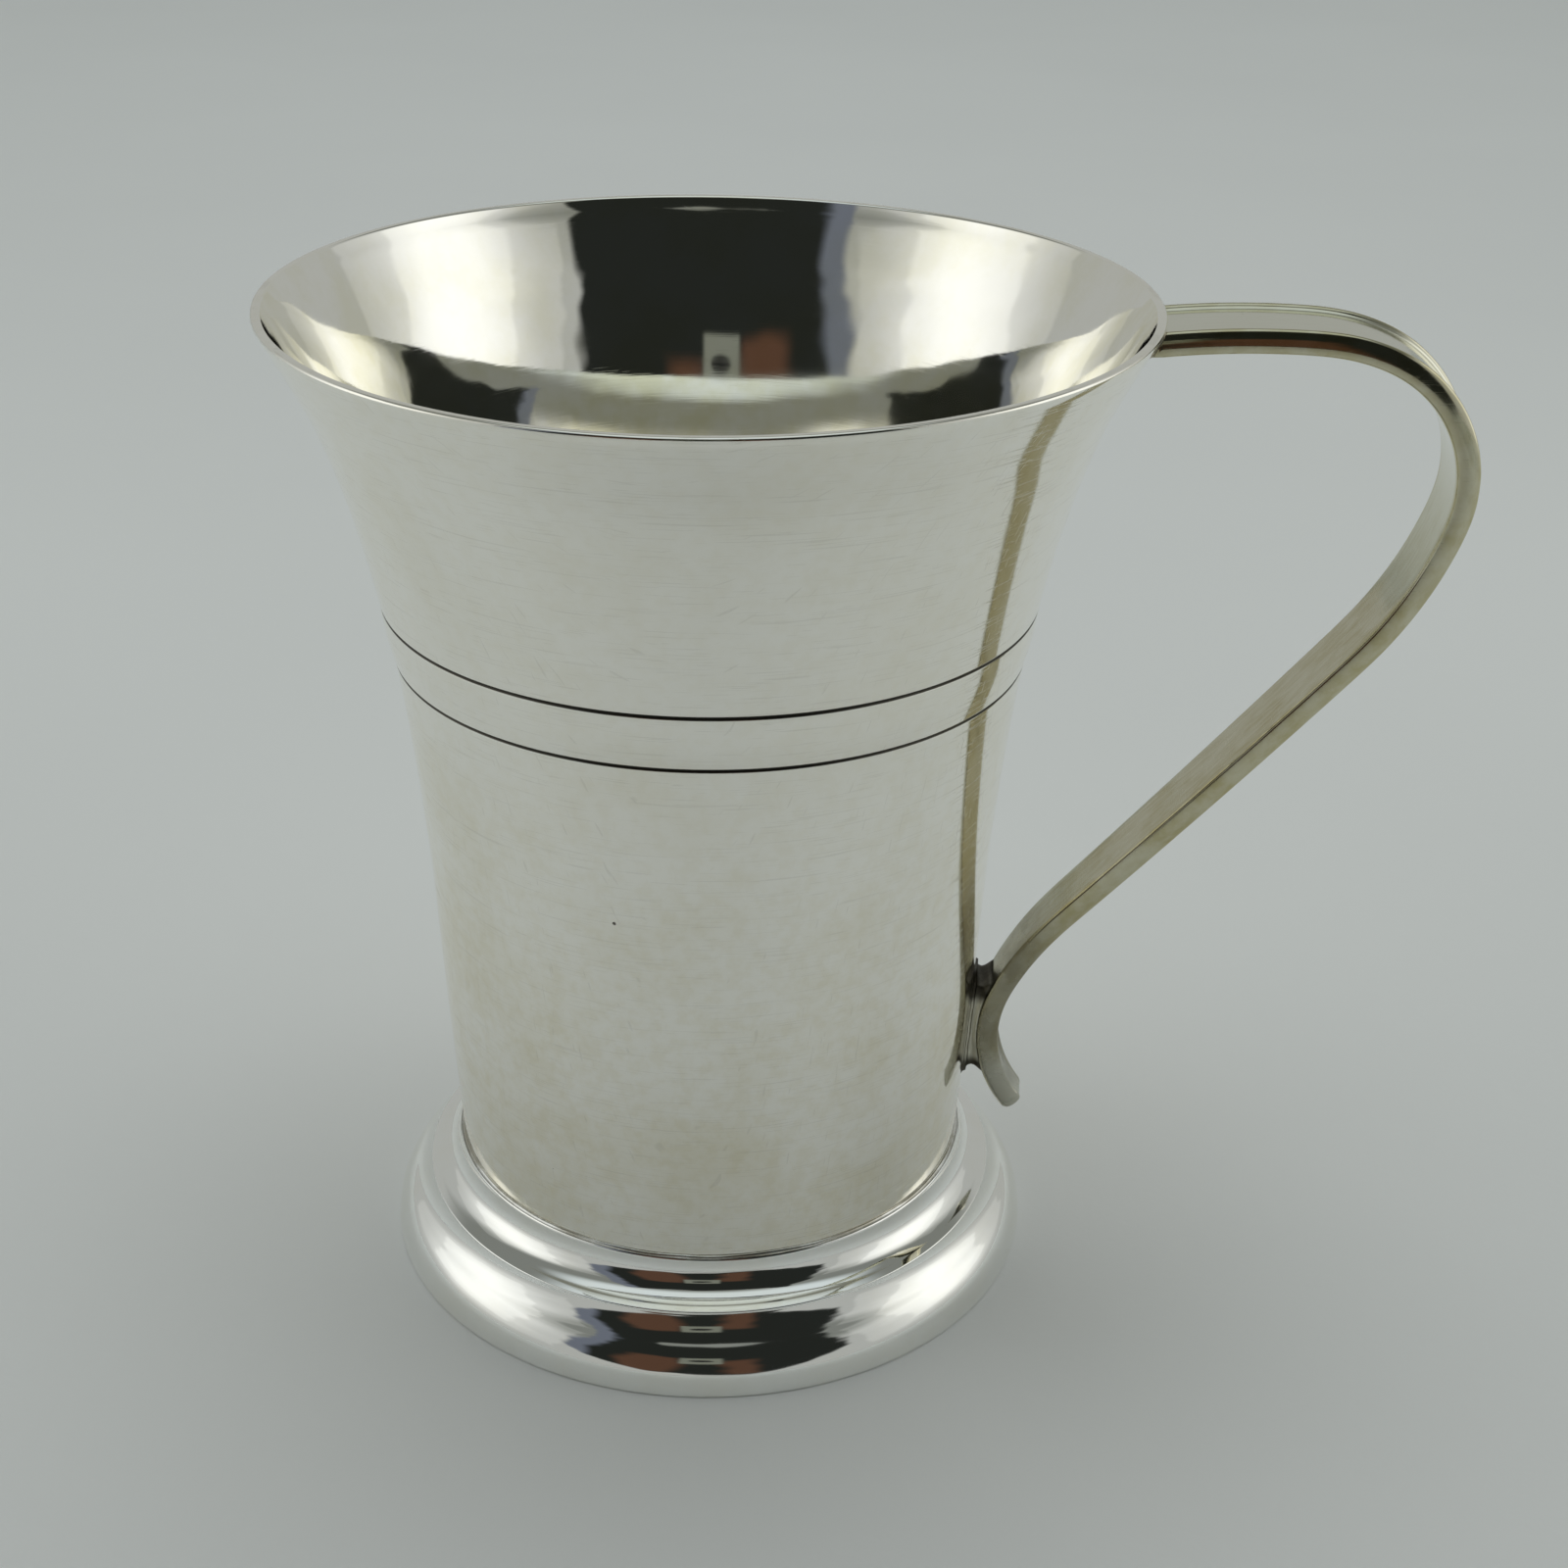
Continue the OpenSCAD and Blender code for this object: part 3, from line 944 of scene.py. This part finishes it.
def cup_outside_silver(cup):
    """Old polished silver with lines from polishing, thin yellow film and dark incised lines."""
    material, tree, where = new_finish("Cup silver outside")
    lines, film, pits = wear(tree, where, 0.9, 75.0, 170.0, 0.22)
    specks = use_effect(tree, "Dull Film", where, Size=700.0)["Clouds"]
    z = height_above_table(tree, where)
    lower = ramp(tree, z, 0.030, 0.066, 0.80, 0.35)
    clouds = total(tree, 0.0, (film["Clouds"], 0.6), (specks, 0.4))
    tint = blend_colours(tree, times(tree, clouds, lower), cup.silver, cup.film)
    tint = blend_colours(tree, times(tree, lines["Scratch"], 0.16), tint, (0.42, 0.40, 0.33))
    cut = times(tree, line_mask(tree, z, cup), 0.97)
    dark = greater(tree, cut, times(tree, pits, 0.85))
    tint = blend_colours(tree, dark, tint, (0.030, 0.027, 0.020))
    rough = total(tree, 0.035, (film["Wipes"], 0.03), (lines["Streak"], 0.10))
    rough = total(tree, rough, (lines["Scratch"], 0.15), (dark, 0.35))
    return as_metal(material, tint, rough, lines["Height"], 0.0000030)


def cup_inside_silver():
    """The inside: brighter, smoother, with clouds where it was wiped."""
    material, tree, where = new_finish("Cup silver inside")
    lines, film, pits = wear(tree, where, 0.3, 90.0, 190.0, 0.10)
    deep = ramp(tree, height_above_table(tree, where), 0.050, 0.084, 0.95, 0.30)
    share = times(tree, film["Clouds"], deep)
    tint = blend_colours(tree, share, (0.96, 0.95, 0.90), (0.80, 0.76, 0.46))
    spots = times(tree, pits, 0.6)
    tint = blend_colours(tree, spots, tint, PIT_COLOUR)
    rough = total(tree, 0.03, (film["Wipes"], 0.05), (spots, 0.4))
    return as_metal(material, tint, rough, lines["Height"], 0.0000012)


def foot_silver(foot):
    """The foot: the brightest part, nearly a mirror."""
    material, tree, where = new_finish("Foot silver")
    lines, film, pits = wear(tree, where, 0.35, 120.0, 260.0, 0.10)
    share = times(tree, film["Clouds"], 0.2)
    tint = blend_colours(tree, share, foot.silver, (0.86, 0.82, 0.68))
    tint = blend_colours(tree, times(tree, pits, 0.6), tint, PIT_COLOUR)
    rough = total(tree, 0.025, (film["Wipes"], 0.04), (lines["Streak"], 0.04))
    return as_metal(material, tint, rough, lines["Height"], 0.0000010)


def wire_silver(foot):
    """The wire in the foot: drawn, scuffed where the jug stands."""
    material, tree, where = new_finish("Foot wire silver")
    lines = use_effect(tree, "Polishing Lines", where, Stray=1.0)
    film = use_effect(tree, "Dull Film", where, Size=150.0)
    share = times(tree, film["Clouds"], 0.6)
    tint = blend_colours(tree, share, foot.silver, (0.55, 0.48, 0.34))
    rough = total(tree, 0.25, (film["Wipes"], 0.15))
    return as_metal(material, tint, rough, lines["Height"], 0.000004)


def joint_soot_and_painted_shade(tree, parts):
    """1 where the strap meets the cup and the pad, fading out along it; the darkening it drives is partly
    soot and partly painted shade.
    """
    start = STRAP_LOW.x
    root = ramp(tree, parts["X"], start + 1.5 * MM, start + 15 * MM, 1.0, 0.0)
    high = ramp(tree, parts["Z"], 0.082, 0.086)
    at_top = times(tree, maths(tree, "POWER", root, 3.0), high)
    low = ramp(tree, parts["Z"], 0.032, 0.048, 1.0, 0.0)
    inner = ramp(tree, parts["X"], start + 2.5 * MM, start + 9.0 * MM, 1.0, 0.0)
    return greater(tree, at_top, times(tree, times(tree, low, inner), 0.8))


def rubbed_bright_and_painted_highlight(tree, parts):
    """1 in the upper part of the trough and on the tail, kept free of tarnish: partly rubbed bright,
    partly a painted highlight.
    """
    aside = maths(tree, "ABSOLUTE", parts["Y"])
    middle = ramp(tree, aside, 3.2 * MM, 3.9 * MM, 1.0, 0.0)
    trough = times(tree, ramp(tree, parts["Z"], 0.062, 0.084), middle)
    tail = ramp(tree, parts["Z"], STRAP_LOW.z + 3.5 * MM, STRAP_LOW.z + 8.0 * MM, 1.0, 0.0)
    return greater(tree, trough, tail)


def strap_silver(handle):
    """The strap: tarnished, heavier on its sides as partly painted shade, cleaner in its upper trough and
    on its tail as partly a painted highlight, darkened at its joints with soot and painted shade.
    """
    material, tree, where = new_finish("Handle silver")
    lines, film, pits = wear(tree, where, 0.8, 170.0, 300.0, 0.15)
    parts = add_node(tree, "ShaderNodeSeparateXYZ", {0: where}).outputs
    clouds = ramp(tree, film["Clouds"], 0.0, 1.0, 0.85, 1.12)
    # Tarnish share: 0.80 on the sides and the lower run, partly real tarnish and partly painted shade;
    # 0.15 in the upper trough and on the tail, partly rubbed silver and partly a painted highlight.
    tarnish = ramp(tree, rubbed_bright_and_painted_highlight(tree, parts), 0.0, 1.0, 0.80, 0.15)
    drawn = grain(tree, where, 1.0, 4, 0.6, (420, 2600, 420))
    streaks = ramp(tree, drawn, 0.3, 0.7, 0.75, 1.15)
    share = times(tree, times(tree, streaks, tarnish), clouds, clamp=True)
    tint = blend_colours(tree, share, handle.silver, handle.film)
    # Darkening towards the joints: partly soot, partly painted shade and reflection of the cup where the
    # strap closes on it.
    soot_and_painted_shade = times(tree, joint_soot_and_painted_shade(tree, parts), times(tree, clouds, 0.75), clamp=True)
    dark = greater(tree, soot_and_painted_shade, times(tree, pits, 0.6))
    tint = blend_colours(tree, dark, tint, handle.solder)
    rough = total(tree, 0.08, (film["Wipes"], 0.08), (dark, 0.3))
    return as_metal(material, tint, rough, lines["Height"], 0.0000025)


def pad_metal(name, foot, top):
    """The lower joint: grey metal filed up and down in its middle, near black at its two ends."""
    material, tree, where = new_finish(name)
    film = use_effect(tree, "Dull Film", where, Size=420.0)
    filed = grain(tree, where, 1.0, 3, 0.6, (2600, 2600, 260))
    bent = total(tree, height_above_table(tree, where), (grain(tree, where, 700.0, 2), 1.2 * MM))
    upper = ramp(tree, bent, top - 2.0 * MM, top - 0.8 * MM)
    lower = ramp(tree, bent, foot + 1.4 * MM, foot + 2.6 * MM, 1.0, 0.0)
    burnt = greater(tree, upper, lower)
    grey = blend_colours(tree, ramp(tree, filed, 0.35, 0.65), (0.46, 0.44, 0.36), (0.70, 0.68, 0.58))
    black = blend_colours(tree, film["Clouds"], (0.045, 0.040, 0.030), (0.16, 0.15, 0.12))
    tint = blend_colours(tree, burnt, grey, black)
    return as_metal(material, tint, total(tree, 0.28, (burnt, 0.15)), filed, 0.00001)


def solder_metal(handle):
    """Solder that was never polished: dark, pitted, with a few bright spots."""
    material, tree, where = new_finish("Darkened solder")
    film = use_effect(tree, "Dull Film", where, Size=500.0)
    tint = blend_colours(tree, film["Clouds"], handle.solder, (0.55, 0.50, 0.38))
    rough = total(tree, 0.32, (film["Wipes"], 0.2))
    return as_metal(material, tint, rough, grain(tree, where, 1800.0, 3), 0.00006)


def seam_silver(foot):
    """The seam over the foot: cleaned up, with grey left in its edge."""
    material, tree, where = new_finish("Foot seam")
    film = use_effect(tree, "Dull Film", where, Size=160.0)
    tint = blend_colours(tree, film["Clouds"], (0.45, 0.43, 0.36), foot.silver)
    rough = total(tree, 0.16, (film["Wipes"], 0.15))
    return as_metal(material, tint, rough, grain(tree, where, 1500.0, 3), 0.00002)


# ---------------------------------------------------------------- stage

# How far the camera stands round from the square side view, in degrees
HANDLE_TURN = 6.29
# The camera's lens in mm, and in degrees how far it looks down and its two small tilts
LENS = 55.62
LOOK_DOWN, ROLL, TWIST = 26.28, -1.732, 0.056
TABLE_HALF = 4.0
TENT_WHITE = (1.0, 1.0, 0.97)


def direction(azimuth):
    """Level direction at degrees round from the camera, towards the handle."""
    turn = math.radians(azimuth + HANDLE_TURN)
    return math.sin(turn), -math.cos(turn)


def curved_card(name, first, last, radius, low, high, material):
    """An upright curved sheet round the jug, seen in its reflections and not by the camera."""
    columns, rows = 32, 16
    points, faces = [], []
    for j in range(rows + 1):
        for i in range(columns + 1):
            x, y = direction(first + (last - first) * i / columns)
            points.append((radius * x, radius * y, low + (high - low) * j / rows))
    for j in range(rows):
        for i in range(columns):
            a = j * (columns + 1) + i
            faces.append((a, a + 1, a + columns + 2, a + columns + 1))
    card = new_piece(name, points, faces)
    layer = card.data.uv_layers.new(name="card")
    for loop in card.data.loops:
        j, i = divmod(loop.vertex_index, columns + 1)
        layer.data[loop.index].uv = (i / columns, j / rows)
    card.data.materials.append(material)
    card.visible_camera = False


def card_material(name):
    """A material for a card: its tree, its two coordinates and its output."""
    material = bpy.data.materials.new(name)
    material.use_nodes = True
    tree = material.node_tree
    tree.nodes.remove(tree.nodes["Principled BSDF"])
    where = tree.nodes.new("ShaderNodeTexCoord").outputs["UV"]
    parts = add_node(tree, "ShaderNodeSeparateXYZ", {0: where}).outputs
    return material, tree, parts["X"], parts["Y"], tree.nodes["Material Output"]


def wavering(tree, u, v, amount, scale):
    """The card's two coordinates, bent a little so that no edge on it is straight."""
    where = add_node(tree, "ShaderNodeCombineXYZ", {0: u, 1: v})
    waves = add_node(
        tree, "ShaderNodeTexNoise", {"Vector": where.outputs[0], "Scale": scale, "Detail": 2.0}
    ).outputs["Color"]
    parts = add_node(tree, "ShaderNodeSeparateColor", {0: waves}).outputs
    across = times(tree, maths(tree, "SUBTRACT", parts[0], 0.5), amount)
    up = times(tree, maths(tree, "SUBTRACT", parts[1], 0.5), amount)
    return maths(tree, "ADD", u, across), maths(tree, "ADD", v, up)


def window(tree, u, first, last, soft):
    """1 between two places on a card and 0 outside, with soft edges."""
    rise = ramp(tree, u, first - soft, first + soft)
    return times(tree, rise, ramp(tree, u, last - soft, last + soft, 1.0, 0.0))


def glow(name, strength, middle):
    """A lit side of the tent: a bright sheet with clear edges in light that fades out round it."""
    material, tree, u, v, out = card_material(name)
    u, v = wavering(tree, u, v, 0.10, 5.0)
    away = maths(tree, "ABSOLUTE", maths(tree, "SUBTRACT", u, middle))
    across = ramp(tree, away, 0.0, 0.37, 1.0, 0.0)
    up = ramp(tree, maths(tree, "ABSOLUTE", maths(tree, "SUBTRACT", v, 0.50)), 0.20, 0.56, 1.0, 0.0)
    sheet = times(tree, window(tree, away, -0.5, 0.19, 0.012), window(tree, v, 0.16, 0.86, 0.02))
    wide = times(tree, window(tree, away, -0.5, 0.36, 0.010), window(tree, v, 0.10, 0.92, 0.03))
    lit = total(tree, 0.0, (times(tree, across, up), 0.44), (sheet, 0.13), (wide, 0.08))
    light = add_node(
        tree,
        "ShaderNodeEmission",
        {"Color": (*TENT_WHITE, 1), "Strength": times(tree, lit, strength)},
    )
    clear = add_node(tree, "ShaderNodeBsdfTransparent")
    both = add_node(tree, "ShaderNodeAddShader", {0: light.outputs[0], 1: clear.outputs[0]})
    tree.links.new(both.outputs[0], out.inputs["Surface"])
    return material


def dark_opening(name):
    """The tent's open front: dark, with warm wooden things and a pale box with a round dark hole."""
    material, tree, u, v, out = card_material(name)
    near_u, near_v = wavering(tree, u, v, 0.16, 4.0)

    def patch(a, b, left, right, low, high, soft):
        return times(tree, window(tree, a, left, right, soft), window(tree, b, low, high, soft))

    from_middle = maths(tree, "SUBTRACT", near_u, 0.5)
    hem = times(tree, times(tree, from_middle, from_middle), 0.9)
    mask = patch(near_u, maths(tree, "SUBTRACT", near_v, hem), 0.07, 0.93, 0.02, 0.78, 0.013)
    wood = patch(near_u, near_v, 0.24, 0.41, 0.04, 0.35, 0.03)
    more = patch(near_u, near_v, 0.54, 0.64, 0.04, 0.29, 0.03)
    box = patch(u, v, 0.415, 0.545, 0.23, 0.36, 0.008)
    grey = patch(near_u, near_v, 0.0, 0.14, 0.04, 0.95, 0.02)
    aside = maths(tree, "SUBTRACT", u, 0.48)
    above = times(tree, maths(tree, "SUBTRACT", v, 0.295), 1.9)
    away = total(tree, 0.0, (aside, aside), (above, above))
    hole = ramp(tree, away, 0.0011, 0.0017, 1.0, 0.0)
    warm = greater(tree, wood, more)
    tint = blend_colours(tree, warm, (0.016, 0.018, 0.016), (0.085, 0.045, 0.029))
    tint = blend_colours(tree, grey, tint, (0.13, 0.145, 0.18))
    tint = blend_colours(tree, box, tint, (0.17, 0.18, 0.15))
    tint = blend_colours(tree, hole, tint, (0.012, 0.012, 0.012))
    light = add_node(tree, "ShaderNodeEmission", {"Color": tint, "Strength": 1.0})
    clear = add_node(tree, "ShaderNodeBsdfTransparent")
    both = add_node(tree, "ShaderNodeMixShader", {0: mask, 1: clear.outputs[0], 2: light.outputs[0]})
    tree.links.new(both.outputs[0], out.inputs["Surface"])
    return material


def paper(stage):
    """Matt pale paper with a faint tooth."""
    material, tree, where = new_finish("Table paper")
    shader = tree.nodes["Principled BSDF"]
    clouds = grain(tree, where, 9.0, 3)
    tooth = grain(tree, where, 1400.0, 3)
    base = tuple(stage.paper)
    darker = tuple(c * 0.95 for c in base)
    tree.links.new(blend_colours(tree, clouds, base, darker), shader.inputs["Base Color"])
    shader.inputs["Roughness"].default_value = 0.85
    shader.inputs["Specular IOR Level"].default_value = 0.2
    bump(tree, tooth, 0.00002)
    return material


def surroundings():
    """The tent: pale at the sides, brighter overhead."""
    world = bpy.data.worlds.new("Light tent")
    world.use_nodes = True
    tree = world.node_tree
    up = height_above_table(tree, tree.nodes.new("ShaderNodeTexCoord").outputs["Generated"])
    middle = ramp(tree, up, 0.55, 0.70)
    top = ramp(tree, up, 0.84, 0.93)
    tint = blend_colours(tree, middle, (0.40, 0.41, 0.395), (0.19, 0.20, 0.185))
    tint = blend_colours(tree, top, tint, (0.62, 0.68, 0.69))
    tree.links.new(tint, tree.nodes["Background"].inputs["Color"])
    bpy.context.scene.world = world


def overhead_light(location, size, power):
    """A broad soft lamp over the table, which lights the table and doesn't show in the silver."""
    data = bpy.data.lights.new("overhead", "AREA")
    data.shape = "DISK"
    data.size = size
    data.energy = power
    lamp = bpy.data.objects.new("overhead", data)
    lamp.location = location
    lamp.visible_glossy = False
    lamp.visible_camera = False
    bpy.context.scene.collection.objects.link(lamp)


def build_stage(jug):
    """The table, the tent's light and the camera."""
    stage = jug.stage
    corners = [(TABLE_HALF * x, TABLE_HALF * y, 0) for x, y in ((-1, -1), (1, -1), (1, 1), (-1, 1))]
    table = new_piece("table", corners, [(0, 1, 2, 3)])
    table.data.materials.append(paper(stage))
    surroundings()
    curved_card("left_glow", -146, -42, 0.40, 0.0, 0.46, glow("Left side of tent", 1.05, 0.55))
    curved_card("right_glow", 44, 148, 0.40, 0.0, 0.46, glow("Right side of tent", 1.10, 0.44))
    curved_card("open_front", -56, 54, 0.33, 0.0, 0.60, dark_opening("Open front of tent"))
    overhead_light((0, 0.32, 0.9), 0.75, 1.3)

    rim = jug.cup.rim
    data = bpy.data.cameras.new("camera")
    data.sensor_width = 36
    data.lens = LENS
    data.clip_start = 0.01
    camera = bpy.data.objects.new("camera", data)
    bpy.context.scene.collection.objects.link(camera)
    x, y = direction(0)
    camera.matrix_world = (
        Matrix.Translation((x * stage.reach * rim, y * stage.reach * rim, stage.rise * rim))
        @ Matrix.Rotation(math.radians(HANDLE_TURN), 4, "Z")
        @ Matrix.Rotation(math.radians(90 - LOOK_DOWN), 4, "X")
        @ Matrix.Rotation(math.radians(ROLL), 4, "Y")
        @ Matrix.Rotation(math.radians(TWIST), 4, "Z")
    )
    bpy.context.scene.camera = camera
    bpy.context.scene.view_settings.view_transform = "Standard"


# ---------------------------------------------------------------- operators


def jug_of(context):
    """The scene's jug settings."""
    return context.scene.cream_jug


class CreamJug(bpy.types.PropertyGroup):
    """All the settings of the jug and its stage."""

    cup: PointerProperty(type=JugCup)
    foot: PointerProperty(type=JugFoot)
    handle: PointerProperty(type=JugHandle)
    stage: PointerProperty(type=JugStage)


class JUG_OT_cup(bpy.types.Operator):
    """Build the cup"""

    bl_idname = "jug.cup"
    bl_label = "Cup"

    def execute(self, context):
        build_cup(jug_of(context))
        return {"FINISHED"}


class JUG_OT_foot(bpy.types.Operator):
    """Build the foot moulding and the wire inside it"""

    bl_idname = "jug.foot"
    bl_label = "Foot"

    def execute(self, context):
        build_foot(jug_of(context))
        return {"FINISHED"}


class JUG_OT_handle(bpy.types.Operator):
    """Build the strap handle and the pad behind its lower joint"""

    bl_idname = "jug.handle"
    bl_label = "Handle"

    def execute(self, context):
        build_strap(jug_of(context))
        build_pad(jug_of(context))
        return {"FINISHED"}


class JUG_OT_solder(bpy.types.Operator):
    """Build the three seams of hard solder"""

    bl_idname = "jug.solder"
    bl_label = "Solder seams"

    def execute(self, context):
        jug = jug_of(context)
        build_foot_seam(jug)
        build_top_solder(jug)
        build_bottom_solder(jug)
        return {"FINISHED"}


class JUG_OT_stage(bpy.types.Operator):
    """Lay the table and set the light and the camera"""

    bl_idname = "jug.stage"
    bl_label = "Table, light and camera"

    def execute(self, context):
        build_stage(jug_of(context))
        return {"FINISHED"}


OPERATORS = (JUG_OT_cup, JUG_OT_foot, JUG_OT_handle, JUG_OT_solder, JUG_OT_stage)


class JUG_PT_panel(bpy.types.Panel):
    """The jug's settings and its building steps"""

    bl_idname = "JUG_PT_panel"
    bl_label = "Cream Jug"
    bl_space_type = "VIEW_3D"
    bl_region_type = "UI"
    bl_category = "Cream Jug"

    def draw(self, context):
        jug = jug_of(context)
        groups = ("Cup", jug.cup), ("Foot", jug.foot), ("Handle", jug.handle), ("Stage", jug.stage)
        for title, group in groups:
            box = self.layout.box()
            box.label(text=title)
            for name in group.bl_rna.properties.keys():
                if name not in {"rna_type", "name"}:
                    box.prop(group, name)
        for operator in OPERATORS:
            self.layout.operator(operator.bl_idname)


CLASSES = (JugCup, JugFoot, JugHandle, JugStage, CreamJug, *OPERATORS, JUG_PT_panel)


def register():
    for item in CLASSES:
        bpy.utils.register_class(item)
    bpy.types.Scene.cream_jug = PointerProperty(type=CreamJug)


def unregister():
    del bpy.types.Scene.cream_jug
    for item in reversed(CLASSES):
        bpy.utils.unregister_class(item)


def main():
    """Builds every piece in order."""
    register()
    bpy.ops.jug.cup()
    bpy.ops.jug.foot()
    bpy.ops.jug.handle()
    bpy.ops.jug.solder()
    bpy.ops.jug.stage()
    bpy.context.view_layer.update()


if __name__ == "__main__":
    main()
